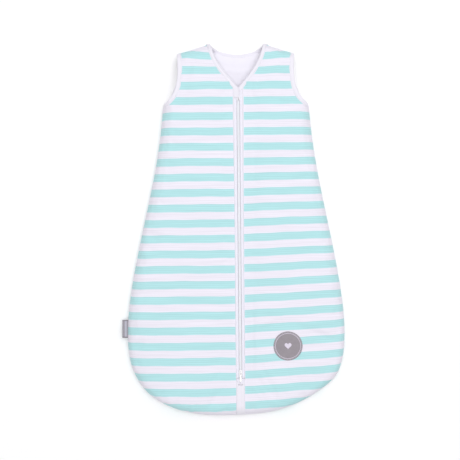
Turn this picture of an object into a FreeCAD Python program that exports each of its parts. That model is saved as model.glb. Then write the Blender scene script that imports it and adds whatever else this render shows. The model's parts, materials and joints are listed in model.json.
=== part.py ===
import FreeCAD, Part
import math
import os
from FreeCAD import Vector

# A padded, sleeveless baby sleeping bag that lies on its back, zipped shut.
# +Y points to the neck, +Z up out of the front, +X to the reader's right; millimetres.
# The origin is the middle of the flat underside. "left" is the -X side.

# ---- driving dimensions ------------------------------------------------------
THICKNESS = 46.0          # the bag at rest, front skin to back skin
OUTER = 1.2               # striped knitted outer fabric
WADDING = 6.0
LINING = 0.8
EDGE_ROLL = 20.0          # how far in from the seam the bag reaches its full thickness

HEM_Y = -370.5
UNDERARM = (145.3, 248.6)
# right side and hem, from the underarm to the middle of the hem
SIDE = [UNDERARM, (149.8, 199.0), (178.5, 35.0), (209.0, -121.0), (216.5, -215.0),
        (199.0, -294.0), (138.0, -345.5), (75.0, -366.0), (0.0, HEM_Y)]
SHOULDER_TIP = (117.5, 351.0)
SHOULDER_SLOPE = -0.302
# right armhole, from above the shoulder to past the underarm
ARMHOLE = [(118.6, 366.0), (115.6, 330.0), (116.3, 300.0), (125.5, 269.5), (147.5, 246.8)]
ARMHOLE_BINDING = 9.5
BINDING_DEPTH = 5.0       # bound edges are pressed thinner than the padding

APEX_Y = 281.0            # the point of the V neck
# right edge of the V neck, from the apex to above the shoulder
V_EDGE = [(0.0, APEX_Y), (24.5, 310.0), (42.5, 338.0), (53.5, 373.0)]
BACK_NECK = [(58.5, 374.5), (34.0, 358.5), (0.0, 351.0)]
NECK_BINDING = 8.0

BAND_HALF = 10.4          # white strips down the middle of the front
WINDOW_HALF = 7.6         # inside the strips, where the zip shows
WINDOW_END_Y = -305.0     # lowest point of the rounded end of the window
STRIP_DEPTH = 3.0         # strip on the outside, its facing under it
FACING_DEPTH = 2.0
QUILT_LINE = 16.0         # the flaps are stitched flat from the zip out to here

FOLD_BOTTOM = (10.6, -297.0)
FOLD_TOP = (48.5, 352.0)
FOLD_GAP = 0.3            # clear of the fold line on each side
MIDDLE_GAP = 0.5          # each flap stops this far short of the middle

ZIP_DROP = 1.1            # the zip runs this far below the outer fabric
COIL_INNER = 0.6
COIL_OUTER = 2.8
COIL_HALF_HEIGHT = 1.2
TAPE_OUTER = 9.4          # the tape's edge, sewn inside the strip
TAPE_THICK = 0.6
ZIP_TOP_Y = 256.0
FASTENER_LENGTH = 8.0     # retainer box, and the pin beside it
STOP_LENGTH = 3.0
BAR_TACK = (9.0, 2.2, 0.5)   # width, length and height
BAR_TACK_GAP = 2.0           # below the window

SLIDER_Y = (-291.0, -279.0)
SLIDER_HALF = 3.6
SLIDER_CHANNEL = 3.1
PLATE = 1.0
RUNNING = 0.3             # clearance of the slider round the coil and the tape
SLIDER_CLEAR = 4.6        # the right tape stays this far off where the slider rests
SLIDER_CORNER = 1.0
WEDGE_LENGTH = 5.0        # the divider between the two channels
CAP_HALF = 1.5
CAP_HEIGHT = 2.1
CAP_BELOW = 4.0           # the cap's reach below the pull's hinge, and above it
CAP_ABOVE = 3.6
TUNNEL_HALF = 1.2         # hole through the cap for the pull's bar
TUNNEL_HEIGHT = 1.4
PULL_HINGE_Y = -284.0
PULL_LENGTH = 19.0
PULL_HALF = 2.4
PULL_THICK = 0.9
PULL_CORNER = 1.8
PULL_EYE = 4.7            # length of the eye that clears the cap

GUARD_HEIGHT = 1.3        # low enough for the raised pull tab to pass over
GUARD_START = 5.0         # above the top of the coil
GUARD_LOW_REACH = 9.0
GUARD_SLANT = 1.5
BADGE_CENTRE = (102.0, -232.0)
BADGE_RADIUS = 28.75
BADGE_THICK = 1.4
RELIEF = 0.4
RING_INSET = 3.2
RING_WIDTH = 1.0
MOTIF_WIDTH = 14.0
HEART_LOBE = 0.27         # a lobe's radius and the tip's drop, in widths of the heart
HEART_TIP = 0.55
HEART_NOTCH = 0.62        # the notch's height, in lobe radii
HEART_TOUCH = math.radians(40)
LABEL_Y = (-215.0, -179.0)
LABEL_REACH = -227.5
LABEL_THICK = 1.2

Z_TOP = THICKNESS
Z_MID = THICKNESS / 2.0
ZIP_Z = Z_TOP - ZIP_DROP
FAR = 420.0               # beyond every edge of the bag
OFFSET_STEPS = 32


# ---- small helpers -----------------------------------------------------------
def spline(points):
    """A smooth edge through points (x, y)."""
    curve = Part.BSplineCurve()
    curve.interpolate([Vector(x, y, 0) for x, y in points])
    return curve.toShape()


def offset(edge, distance):
    """The edge moved sideways, to the right of the way it runs."""
    if not distance:
        return edge
    first, last = edge.ParameterRange
    points = []
    for i in range(OFFSET_STEPS + 1):
        at = first + (last - first) * i / OFFSET_STEPS
        place, along = edge.valueAt(at), edge.tangentAt(at)
        points.append((place.x + along.y * distance, place.y - along.x * distance))
    return spline(points)


def flip(points):
    return [(-x, y) for x, y in points]


def closed(edges, corners):
    """A closed wire: the edges, then straight runs through corners back to the start."""
    start, end = edges[0].Vertexes[0].Point, edges[-1].Vertexes[-1].Point
    run = [end] + [Vector(x, y, 0) for x, y in corners] + [start]
    lines = [Part.makeLine(a, b) for a, b in zip(run, run[1:])]
    return Part.Wire(edges + lines)


def prism(wire, z0, z1):
    face = Part.Face(wire)
    face.translate(Vector(0, 0, z0))
    return face.extrude(Vector(0, 0, z1 - z0))


def block(x0, x1, y0, y1, z0, z1):
    return Part.makeBox(x1 - x0, y1 - y0, z1 - z0, Vector(x0, y0, z0))


def mirrored(shape):
    return shape.mirror(Vector(0, 0, 0), Vector(1, 0, 0))


def save(name, shape):
    solids = shape.Solids
    result = solids[0] if len(solids) == 1 else Part.makeCompound(solids)
    result.exportStep("parts/" + name + ".step")


# ---- outlines ----------------------------------------------------------------
def bag_outline(inset=0.0):
    """The seam line all round, with the armholes and the neck still filled in."""
    body = offset(spline(SIDE + flip(SIDE[-2::-1])), inset)
    reach = body.Vertexes[0].Point.x
    peak_y = SHOULDER_TIP[1] - SHOULDER_SLOPE * SHOULDER_TIP[0]
    peak_y -= inset * math.hypot(1.0, SHOULDER_SLOPE)
    corner_y = peak_y + SHOULDER_SLOPE * reach
    return closed([body], [(-reach, corner_y), (0, peak_y), (reach, corner_y)])


def armhole(grow=0.0):
    """The right armhole cut-out, from above; grow widens it by the binding."""
    edge = offset(spline(ARMHOLE), grow)
    top, end = edge.Vertexes[0].Point, edge.Vertexes[-1].Point
    return closed([edge], [(FAR, end.y), (FAR, FAR), (top.x, FAR)])


def v_neck(grow=0.0):
    """The V cut out of the front, between the two front edges of the neck."""
    right = spline(V_EDGE)
    across = right.tangentAt(right.ParameterRange[0]).x
    right = offset(right, grow)
    low, top = right.Vertexes[0].Point, right.Vertexes[-1].Point
    over = [top, Vector(top.x, FAR, 0), Vector(-top.x, FAR, 0), Vector(-top.x, top.y, 0)]
    edges = [right] + [Part.makeLine(a, b) for a, b in zip(over, over[1:])] + [mirrored(right)]
    if grow:
        apex = Vector(0, APEX_Y - grow / across, 0)
        edges = [Part.makeLine(apex, low)] + edges + [Part.makeLine(Vector(-low.x, low.y, 0), apex)]
    return Part.Wire(edges)


def back_neck(grow=0.0):
    edge = offset(spline(BACK_NECK + flip(BACK_NECK[-2::-1])), -grow)
    reach = edge.Vertexes[0].Point.x
    return closed([edge], [(-reach, FAR), (reach, FAR)])


def envelope(depth):
    """The padded outer form shrunk everywhere by depth: its back half and its front half."""
    slope = math.hypot(EDGE_ROLL, Z_MID) / Z_MID
    seam_inset = depth * slope
    flat_inset = seam_inset + EDGE_ROLL * (1.0 - depth / Z_MID)
    halves = []
    for z_flat in (depth, THICKNESS - depth):
        flat, seam = bag_outline(flat_inset), bag_outline(seam_inset)
        flat.translate(Vector(0, 0, z_flat))
        seam.translate(Vector(0, 0, Z_MID))
        halves.append(Part.makeLoft([flat, seam], True, True))
    return halves


# ---- cutting regions, as tall prisms -----------------------------------------
def tall(wire):
    return prism(wire, -1.0, THICKNESS + 1.0)


def edge_strip(shape_of, width):
    """The band of the given width along an opening's edge."""
    return tall(shape_of(width)).cut(tall(shape_of()))


def flap_region(side, gap):
    """Plan of one flap, from the middle to the fold line; a negative gap grows it."""
    rise = FOLD_TOP[1] - FOLD_BOTTOM[1]
    lean = (FOLD_TOP[0] - FOLD_BOTTOM[0]) / rise
    low = FOLD_BOTTOM[1] + gap
    inner = MIDDLE_GAP if gap > 0 else 0.0
    outer_low = FOLD_BOTTOM[0] - gap
    outer_high = outer_low + lean * (FAR - low)
    corners = [(inner, low), (outer_low, low), (outer_high, FAR), (inner, FAR), (inner, low)]
    wire = Part.makePolygon([Vector(side * x, y, 0) for x, y in corners])
    return tall(wire)


def window():
    """The slot that the zip lies in, with its rounded lower end."""
    end = WINDOW_END_Y + WINDOW_HALF
    slot = block(-WINDOW_HALF, WINDOW_HALF, end, APEX_Y, 0, THICKNESS + 1)
    round_end = Part.makeCylinder(WINDOW_HALF, THICKNESS + 1, Vector(0, end, 0))
    return slot.fuse(round_end)


# ---- the padded panels -------------------------------------------------------
def shells():
    """Outer, wadding and lining as (back half, front half), and the pressed edge layer."""
    depths = [0.0, OUTER, OUTER + WADDING, OUTER + WADDING + LINING]
    forms = [envelope(depth) for depth in depths]
    pressed = envelope(BINDING_DEPTH)
    layers = {}
    for name, thick, thin in zip(("outer", "wadding", "lining"), forms, forms[1:]):
        layers[name] = [a.cut(b) for a, b in zip(thick, thin)]
    edges = [a.cut(b) for a, b in zip(forms[0], pressed)]
    return forms[0], layers, edges


def make_panels(layers):
    arm_cut = tall(armhole(ARMHOLE_BINDING))
    arms = [arm_cut, mirrored(arm_cut)]
    v_cut = tall(v_neck(NECK_BINDING))
    below_window = FOLD_BOTTOM[1] - FOLD_GAP
    both_flaps = [flap_region(side, -FOLD_GAP) for side in (-1, 1)]
    for name, (back, front) in layers.items():
        save("back_" + name, back.cut(arms + [tall(back_neck(NECK_BINDING))]))
        fixed = front.cut(arms + [v_cut, window()] + both_flaps)
        for side, word in ((-1, "left"), (1, "right")):
            half = block(*sorted((0, side * FAR)), -FAR, FAR, 0, THICKNESS)
            band = block(*sorted((0, side * BAND_HALF)), -FAR, below_window, Z_MID, THICKNESS)
            panel = fixed.common(half)
            if name == "outer":
                save(word + "_lower_band", panel.common(band))
                panel = panel.cut(band)
            save("front_" + word + "_" + name, panel)
            pressed = press_flap(name, front)
            save(word + "_flap_" + name, pressed.common(flap_region(side, FOLD_GAP)).cut(v_cut))


def press_flap(name, front):
    """The flaps' layers, without the middle band and stitched flat beside it."""
    middle = block(-BAND_HALF, BAND_HALF, -FAR, FAR, 0, THICKNESS + 1)
    low = Z_TOP - STRIP_DEPTH - FACING_DEPTH
    if name == "wadding":
        hollow = block(-QUILT_LINE, QUILT_LINE, -FAR, FAR, 0, low + LINING)
        return front.cut([middle, hollow])
    if name == "lining":
        far_part = front.cut(block(-QUILT_LINE, QUILT_LINE, -FAR, FAR, 0, THICKNESS))
        floor = Z_TOP - OUTER - WADDING - LINING
        raised = block(-QUILT_LINE, QUILT_LINE, -FAR, FAR, low, low + LINING)
        step = QUILT_LINE - LINING
        sides = block(-QUILT_LINE, QUILT_LINE, -FAR, FAR, floor, low + LINING)
        sides = sides.cut(block(-step, step, -FAR, FAR, floor, low))
        return far_part.fuse(raised.fuse(sides)).cut(middle)
    return front.cut(middle)


# ---- bound edges -------------------------------------------------------------
def make_bindings(edges):
    back, front = edges
    arm = edge_strip(armhole, ARMHOLE_BINDING)
    ring = back.common(arm).fuse(front.common(arm))
    save("right_armhole_binding", ring)
    save("left_armhole_binding", mirrored(ring))

    v_strip = edge_strip(v_neck, NECK_BINDING)
    v_front = front.common(v_strip)
    fixed = v_front.cut([flap_region(side, -FOLD_GAP) for side in (-1, 1)])
    save("neck_binding", back.common(edge_strip(back_neck, NECK_BINDING)).fuse(fixed))
    for side, word in ((-1, "left"), (1, "right")):
        save(word + "_neck_binding", v_front.common(flap_region(side, FOLD_GAP)))


def flap_strip(side, x0, x1, z0, z1):
    """A strip along one flap beside the zip, from the window's end up to the V neck."""
    low = FOLD_BOTTOM[1] + FOLD_GAP
    strip = block(*sorted((side * x0, side * x1)), low, APEX_Y, z0, z1)
    return strip.cut(tall(v_neck(NECK_BINDING)))


def make_front_edges():
    for side, word in ((-1, "left"), (1, "right")):
        split = Z_TOP - STRIP_DEPTH
        tape = make_tape(side)
        strip = flap_strip(side, WINDOW_HALF, BAND_HALF, split, Z_TOP)
        save(word + "_front_binding", strip.cut(tape))
        save(word + "_zip_facing",
             flap_strip(side, WINDOW_HALF, BAND_HALF, split - FACING_DEPTH, split))
        save(word + "_zip_tape", tape)


# ---- the zip -----------------------------------------------------------------
def make_tape(side):
    tape = flap_strip(side, COIL_OUTER, TAPE_OUTER, ZIP_Z - TAPE_THICK / 2, ZIP_Z + TAPE_THICK / 2)
    return tape.cut(slider_berth()) if side > 0 else tape


def slider_berth():
    """Kept free of the right half of the zip, because the slider stays on the left half."""
    top = SLIDER_Y[1] + 2 * RUNNING
    return block(0, SLIDER_CLEAR, -FAR, top, 0, THICKNESS + 1)


def make_coils():
    low = FOLD_BOTTOM[1] + FOLD_GAP
    for side, word in ((-1, "left"), (1, "right")):
        ends = sorted((side * COIL_INNER, side * COIL_OUTER))
        z0, z1 = ZIP_Z - COIL_HALF_HEIGHT, ZIP_Z + COIL_HALF_HEIGHT
        coil = block(*ends, low, ZIP_TOP_Y, z0, z1)
        if side > 0:
            coil = coil.cut(slider_berth())
        save(word + "_zip_coil", coil)
        fastener = block(*ends, ZIP_TOP_Y, ZIP_TOP_Y + FASTENER_LENGTH, z0 - RUNNING, z1 + RUNNING)
        save("retainer_box" if side < 0 else "insertion_pin", fastener)


def make_zip_end():
    """Stop, backing patch and bar tack at the lower end of the zip."""
    top = FOLD_BOTTOM[1] - FOLD_GAP
    below = block(-FAR, FAR, -FAR, top, Z_TOP - STRIP_DEPTH - TAPE_THICK, Z_TOP - STRIP_DEPTH)
    save("zip_end_patch", window().common(below))
    save("zip_bottom_stop", block(-COIL_OUTER, COIL_OUTER, top - STOP_LENGTH, top,
                                  Z_TOP - STRIP_DEPTH, ZIP_Z + COIL_HALF_HEIGHT))
    width, length, height = BAR_TACK
    tack_y = WINDOW_END_Y - BAR_TACK_GAP
    save("zip_bar_tack", block(-width / 2, width / 2, tack_y - length, tack_y, Z_TOP, Z_TOP + height))


def uprights(shape):
    return [e for e in shape.Edges if abs(e.tangentAt(e.FirstParameter).z) > 0.9]


def make_slider():
    """Hollow slider: a channel for each coil, side slots for the tapes, and a divider."""
    y0, y1 = SLIDER_Y
    inside = COIL_HALF_HEIGHT + RUNNING
    low, high = ZIP_Z - inside, ZIP_Z + inside
    body = block(-SLIDER_HALF, SLIDER_HALF, y0, y1, low - PLATE, high + PLATE)
    body = body.makeFillet(SLIDER_CORNER, uprights(body))
    wedge = COIL_INNER - RUNNING
    slot = TAPE_THICK / 2 + RUNNING
    for side in (-1, 1):
        channel = sorted((side * wedge, side * SLIDER_CHANNEL))
        wall = sorted((side * SLIDER_CHANNEL, side * SLIDER_HALF))
        body = body.cut(block(*channel, y0, y1, low, high))
        body = body.cut(block(*wall, y0, y1, ZIP_Z - slot, ZIP_Z + slot))
    body = body.cut(block(-wedge, wedge, y0 + WEDGE_LENGTH, y1, low, high))
    save("slider_body", body)
    make_pull(high + PLATE)


def make_pull(z):
    """The cap on the slider's top face at z, and the pull tab on its bar under the cap."""
    hinge_y, hinge_z = PULL_HINGE_Y, z + TUNNEL_HEIGHT / 2
    cap = block(-CAP_HALF, CAP_HALF, hinge_y - CAP_BELOW, hinge_y + CAP_ABOVE, z, z + CAP_HEIGHT)
    tunnel = block(-CAP_HALF, CAP_HALF, hinge_y - TUNNEL_HALF, hinge_y + TUNNEL_HALF,
                   z, z + TUNNEL_HEIGHT)
    save("slider_cap", cap.cut(tunnel))

    radius = PULL_THICK / 2
    bar = Part.makeCylinder(radius, 2 * PULL_HALF, Vector(-PULL_HALF, hinge_y, hinge_z), Vector(1, 0, 0))
    tab = block(-PULL_HALF, PULL_HALF, hinge_y - PULL_LENGTH, hinge_y, hinge_z - radius, hinge_z + radius)
    free_end = [e for e in uprights(tab) if e.Vertexes[0].Point.y < hinge_y - PULL_LENGTH / 2]
    tab = tab.makeFillet(PULL_CORNER, free_end)
    eye = block(-CAP_HALF - RUNNING, CAP_HALF + RUNNING, hinge_y - PULL_EYE, hinge_y,
                hinge_z - PULL_THICK, hinge_z + PULL_THICK)
    save("pull_tab", tab.cut(eye).fuse(bar).removeSplitter())


def make_chin_guard():
    """Folded fabric tab over the top of the zip, sewn to the left flap."""
    low, high = ZIP_TOP_Y + GUARD_START, APEX_Y
    corners = [(-MIDDLE_GAP, low), (-GUARD_LOW_REACH, low), (-BAND_HALF, high - GUARD_SLANT),
               (-MIDDLE_GAP, high)]
    wire = Part.makePolygon([Vector(x, y, 0) for x, y in corners + corners[:1]])
    guard = prism(wire, Z_TOP, Z_TOP + GUARD_HEIGHT)
    pocket = block(-COIL_OUTER - RUNNING, 0, low, ZIP_TOP_Y + FASTENER_LENGTH + RUNNING,
                   Z_TOP, ZIP_Z + COIL_HALF_HEIGHT + 2 * RUNNING)
    save("chin_guard", guard.cut(pocket))


# ---- badge and label ---------------------------------------------------------
def make_badge():
    x, y = BADGE_CENTRE
    base = Vector(x, y, Z_TOP)
    save("badge_disc", Part.makeCylinder(BADGE_RADIUS, BADGE_THICK, base))
    top = base + Vector(0, 0, BADGE_THICK)
    radius = BADGE_RADIUS - RING_INSET
    ring = Part.makeCylinder(radius, RELIEF, top)
    save("badge_ring", ring.cut(Part.makeCylinder(radius - RING_WIDTH, RELIEF, top)))
    save("badge_motif", heart(MOTIF_WIDTH, top))


def heart(width, base):
    """Two round lobes over a point, as wide as asked."""
    lobe = HEART_LOBE * width
    tip = Vector(0, -HEART_TIP * width, 0)
    notch = Vector(0, HEART_NOTCH * lobe, 0)
    reach, rise = lobe * math.cos(HEART_TOUCH), lobe * math.sin(HEART_TOUCH)
    spread = width / 2 - lobe
    touch, over = Vector(spread + reach, -rise, 0), Vector(spread + reach, rise, 0)
    right = [Part.makeLine(tip, touch), Part.Arc(touch, over, notch).toShape()]
    left = [mirrored(edge) for edge in right]
    plan = Part.Wire(Part.__sortEdges__(right + left))
    motif = Part.Face(plan).extrude(Vector(0, 0, RELIEF))
    motif.translate(base)
    return motif


def make_side_label(whole):
    """A folded woven loop caught in the left side seam."""
    loop = block(LABEL_REACH, -SIDE[3][0], *LABEL_Y, Z_MID - LABEL_THICK / 2, Z_MID + LABEL_THICK / 2)
    save("side_label", loop.cut(whole))


def main():
    os.makedirs("parts", exist_ok=True)
    whole, layers, edges = shells()
    make_panels(layers)
    make_bindings(edges)
    make_front_edges()
    make_coils()
    make_zip_end()
    make_slider()
    make_chin_guard()
    make_badge()
    make_side_label(whole)


main()
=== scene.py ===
import json
import math

import bmesh
import bpy
import numpy as np
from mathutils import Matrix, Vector
from mathutils.geometry import delaunay_2d_cdt


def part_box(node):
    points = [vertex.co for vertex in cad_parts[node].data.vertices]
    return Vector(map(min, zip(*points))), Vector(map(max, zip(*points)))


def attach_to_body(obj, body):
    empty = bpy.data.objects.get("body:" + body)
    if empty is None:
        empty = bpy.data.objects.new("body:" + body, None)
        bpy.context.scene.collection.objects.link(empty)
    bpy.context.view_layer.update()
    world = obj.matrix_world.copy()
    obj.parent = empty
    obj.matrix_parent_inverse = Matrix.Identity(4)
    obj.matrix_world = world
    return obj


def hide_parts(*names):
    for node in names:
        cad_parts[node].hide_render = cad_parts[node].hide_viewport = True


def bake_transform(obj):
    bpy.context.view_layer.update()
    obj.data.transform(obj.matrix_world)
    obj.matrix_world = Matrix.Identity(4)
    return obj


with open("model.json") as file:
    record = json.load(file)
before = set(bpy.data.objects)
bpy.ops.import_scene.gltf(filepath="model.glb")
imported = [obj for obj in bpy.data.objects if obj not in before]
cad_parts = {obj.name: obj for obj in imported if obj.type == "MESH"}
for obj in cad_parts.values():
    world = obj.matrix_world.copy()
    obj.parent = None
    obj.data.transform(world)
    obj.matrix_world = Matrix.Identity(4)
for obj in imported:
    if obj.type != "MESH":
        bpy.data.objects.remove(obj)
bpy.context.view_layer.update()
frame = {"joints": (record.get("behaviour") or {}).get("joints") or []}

# ---- sizes, from the frame ---------------------------------------------------
JOINTS = {joint["name"]: joint for joint in frame["joints"]}
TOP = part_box("front_left_outer")[1].z              # outer face of the front
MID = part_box("back_outer")[1].z                    # level of the side seam
ZIP_Z = sum(c.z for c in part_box("left_zip_coil")) / 2
BAND_HALF = -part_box("left_front_binding")[0].x     # from the zip to a front strip's outer edge
WINDOW_HALF = -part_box("left_front_binding")[1].x   # and to its inner edge
WINDOW_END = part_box("zip_end_patch")[0].y
WINDOW_ARC = WINDOW_END + WINDOW_HALF              # centre of the window's rounded end
COIL_LOW, COIL_HIGH = (c.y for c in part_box("left_zip_coil"))
BADGE = np.array([sum(c[k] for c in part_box("badge_disc")) / 2 for k in (0, 1)])
SIGN = {"left": -1, "right": 1}
MIRROR = np.array([-1, 1])

# ---- the cut of the bag, right half, in metres -------------------------------
UNDERARM = (0.1453, 0.2486)
SIDE = [UNDERARM, (0.1498, 0.199), (0.1785, 0.035), (0.209, -0.121), (0.2165, -0.215),
        (0.199, -0.294), (0.138, -0.3455), (0.075, -0.366), (0.0, -0.3705)]
SHOULDER_TIP = (0.1175, 0.351)
SHOULDER_SLOPE = -0.302
ARMHOLE = [(0.1186, 0.366), (0.1156, 0.330), (0.1163, 0.300), (0.1255, 0.2695), (0.1475, 0.2468)]
V_EDGE = [(0.0, 0.281), (0.0245, 0.310), (0.0425, 0.338), (0.0535, 0.373)]
BACK_NECK = [(0.0585, 0.3745), (0.034, 0.3585), (0.0, 0.351)]
ARM_BINDING = 0.0095
NECK_BINDING = 0.008
BINDING_THICK = 0.0052
BACK_NECK_THICK = 0.0068
BAND_TAPER = 0.0021         # how much narrower each half of the middle band gets
OVERLAP = 0.0006            # strips and lower bands lie this far over the quilts
ROLL = 0.022                # how far in from a seam the padding reaches full height
PADDING_CURVE = 1.9         # 2 would round the padding off as a circle
QUILT = 0.0072              # outer fabric and wadding
BOUND_QUILT = 0.0032        # the same where a binding presses it
LINING = 0.0008
FACE_GAP = 0.0006           # between the front's and the back's inner faces at a seam
TUCK = 0.002                # a bound edge stops this far inside its binding
PUFF_CAP = 0.0035           # the cloth solver moves the outer cloth no further
BADGE_FLAT = 0.030          # the cloth stays flat this far round the badge's middle
SEAM_MARGIN = 1e-4          # an edge's line stops this far short of the seams it runs to
MESH_STEP = 0.0050
BAND_STEP = 0.0028          # between the rings of a binding
BAND_WAVE = 0.05            # how unevenly a band swells along its length
FINE_STEP = 0.0014          # edge of a lower band's triangles
FOLD_WIDTH = 0.0072         # FOLD_WIDTH = 0.0072 # rows of mesh points run this far beyond a fold line

# ---- how the real bag lies ---------------------------------------------------
LEAN_NECK = 0.0045          # its sides lie this far left of the even cut at the neck
LEAN_HEM = 0.0035           # and this much further at the hem
CORNER_RISE = 0.04          # the right lower corner is drawn up, for each metre from the zip
STRIPE_RISE = 0.065         # the right half's stripes rise towards the side, low down
STRIPE_ARCH = 0.004         # stripes arch over the chest

# ---- the lowest place of each kind of piece over the floor -------------------
CLOTH_FLOOR = 0.0002
BAND_FLOOR = 0.0001
THREAD_FLOOR = 0.0004

# ---- thread and tape ---------------------------------------------------------
STITCH_INSET = 0.0019       # from a band's inner edge to its row of stitches
STITCH_RISE = 0.00035
STITCH = 0.0024
STITCH_GAP = 0.0011
THREAD_RING = np.array([(-1, 0), (-0.6, 0.8), (0.6, 0.8), (1, 0), (0, -0.8)]) * (0.00028, 0.00022)
TAPE_HALF = 0.0003          # half the thickness of the zip tape

# ---- colours, linear ---------------------------------------------------------
MINT = (0.420, 0.708, 0.735, 1)
WHITE = (0.805, 0.775, 0.865, 1)
# the lining's white is lighter than the outer white: partly the lining's own colour, partly painted
# light against the shade it lies in inside the neck
LINING_WHITE = (0.900, 0.880, 0.960, 1)
BINDING_WHITE = (0.850, 0.828, 0.908, 1)
STRIPE_PERIOD = 0.0304
STRIPE_START = 0.2856       # middle of one mint stripe


# ---- curves in the plane -----------------------------------------------------
def curve(points, step=0.0005):
    """A natural cubic spline through the points, as a fine polyline."""
    p = np.array(points, float)
    t = lengths(p)
    n = len(p)
    h = np.diff(t)
    a = np.eye(n)
    r = np.zeros((n, 2))
    for i in range(1, n - 1):
        a[i, i - 1:i + 2] = h[i - 1], 2 * (h[i - 1] + h[i]), h[i]
        r[i] = 6 * ((p[i + 1] - p[i]) / h[i] - (p[i] - p[i - 1]) / h[i - 1])
    m = np.linalg.solve(a, r)
    at = np.linspace(0, t[-1], max(8, int(t[-1] / step)))
    i = np.clip(np.searchsorted(t, at, side="right") - 1, 0, n - 2)
    u = (at - t[i])[:, None]
    w = (t[i + 1] - at)[:, None]
    k = h[i][:, None]
    return ((m[i] * w**3 + m[i + 1] * u**3) / (6 * k)
            + (p[i] / k - m[i] * k / 6) * w + (p[i + 1] / k - m[i + 1] * k / 6) * u)


def lengths(line):
    """How far along a polyline each of its points is."""
    return np.concatenate([[0], np.cumsum(np.linalg.norm(np.diff(line, axis=0), axis=1))])


def resample(line, step):
    """The same polyline with even spacing near step; its ends stay."""
    line = np.asarray(line, float)
    run = lengths(line)
    at = np.linspace(0, run[-1], max(2, int(round(run[-1] / step)) + 1))
    return np.stack([np.interp(at, run, line[:, k]) for k in range(line.shape[1])], 1)


def tangents(line, closed=False):
    """Unit directions along a polyline, one at each point."""
    if closed:
        d = np.roll(line, -1, axis=0) - np.roll(line, 1, axis=0)
    else:
        d = np.gradient(line, axis=0)
    return d / np.linalg.norm(d, axis=1)[:, None]


def shifted(line, distance):
    """A plane polyline moved sideways, to the right of the way it runs."""
    t = tangents(line)
    return line + distance * np.stack([t[:, 1], -t[:, 0]], 1)


def roof(x):
    """The shoulder seam's height in the plane."""
    return SHOULDER_TIP[1] + SHOULDER_SLOPE * (np.abs(x) - SHOULDER_TIP[0])


def smooth(t):
    """Rises gently from 0 to 1 as t does."""
    t = np.clip(t, 0, 1)
    return t * t * (3 - 2 * t)


def turn(steps):
    """Even angles round a circle, the first one not repeated."""
    return np.linspace(0, 2 * math.pi, steps, endpoint=False)


def oval(wide, high, steps):
    """A closed cross-section, wide and high from its middle."""
    a = turn(steps)
    return np.stack([wide * np.cos(a), high * np.sin(a)], 1)


def everywhere(direction, count):
    """One direction, repeated for each of count points."""
    return np.tile(np.asarray(direction, float), (count, 1))


RIGHT_SIDE = curve(SIDE + [(-x, y) for x, y in SIDE[-2::-1]])
RIGHT_SIDE = RIGHT_SIDE[:len(RIGHT_SIDE) // 2 + 1]   # underarm to the middle of the hem


def seam_line():
    """The whole seam, closed over the armholes and the neck."""
    corner = (UNDERARM[0], roof(UNDERARM[0]))
    right = np.vstack([[(0, roof(0)), corner], resample(RIGHT_SIDE, 0.004)])
    return np.vstack([right, right[::-1][1:] * MIRROR])


def nearest(points, line):
    """The distance from each point to a polyline, and how far along it the nearest place is."""
    best = np.full(len(points), 1e9)
    where = np.zeros(len(points))
    run = 0.0
    for a, b in zip(line, line[1:]):
        ab = b - a
        size = np.linalg.norm(ab)
        t = np.clip(((points - a) @ ab) / max(ab @ ab, 1e-18), 0, 1)
        d = np.linalg.norm(points - a - t[:, None] * ab, axis=1)
        nearer = d < best
        best[nearer] = d[nearer]
        where[nearer] = run + t[nearer] * size
        run += size
    return best, where


def distance(points, line):
    return nearest(points, line)[0]


def inside(points, loop):
    """Which points lie within a closed plane loop."""
    x, y = points[:, 0], points[:, 1]
    odd = np.zeros(len(points), bool)
    for (x0, y0), (x1, y1) in zip(loop, np.roll(loop, -1, axis=0)):
        if y0 != y1:
            cross = (y0 > y) != (y1 > y)
            odd ^= cross & (x < (x1 - x0) * (y - y0) / (y1 - y0) + x0)
    return odd


SEAM = seam_line()


def lift(points):
    """How far the padded outer face stands off the seam's level."""
    t = np.clip(distance(points, SEAM) / ROLL, 0, 1)
    return (TOP - MID) * (1 - (1 - t) ** PADDING_CURVE) ** (1 / PADDING_CURVE)


def taper(y):
    """How far each side of the white middle band comes in, more towards the hem."""
    return BAND_TAPER * (1 - np.exp(-np.maximum(0.22 - y, 0) / 0.20))


def lean(points):
    """Where plane points of the even cut lie on the real bag.

    It lies a little to the left of its zip, its right lower corner is drawn up, and the
    white band in its middle gets narrower.
    """
    x, y = points[:, 0], points[:, 1]
    left = LEAN_NECK + LEAN_HEM * smooth((0.25 - y) / 0.5)
    drawn = CORNER_RISE * x * smooth((-0.28 - y) / 0.06)
    beside = np.clip((np.abs(x) - WINDOW_HALF) / (BAND_HALF - WINDOW_HALF), 0, 1)
    beside *= 1 - smooth((np.abs(x) - BAND_HALF) / 0.05)
    moved = left * smooth(np.abs(x) / 0.12) + np.sign(x) * beside * taper(y)
    return np.stack([x - moved, y + drawn], 1)


def surface(points, side):
    """Points on the outer face and its normals; side is 1 for the front and -1 for the back."""
    e = 0.0006
    z = lift(points)
    gx = (lift(points + [e, 0]) - lift(points - [e, 0])) / (2 * e)
    gy = (lift(points + [0, e]) - lift(points - [0, e])) / (2 * e)
    normal = np.stack([-gx, -gy, np.full(len(z), float(side))], 1)
    normal /= np.linalg.norm(normal, axis=1)[:, None]
    return np.column_stack([lean(points), MID + side * z]), normal


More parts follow.
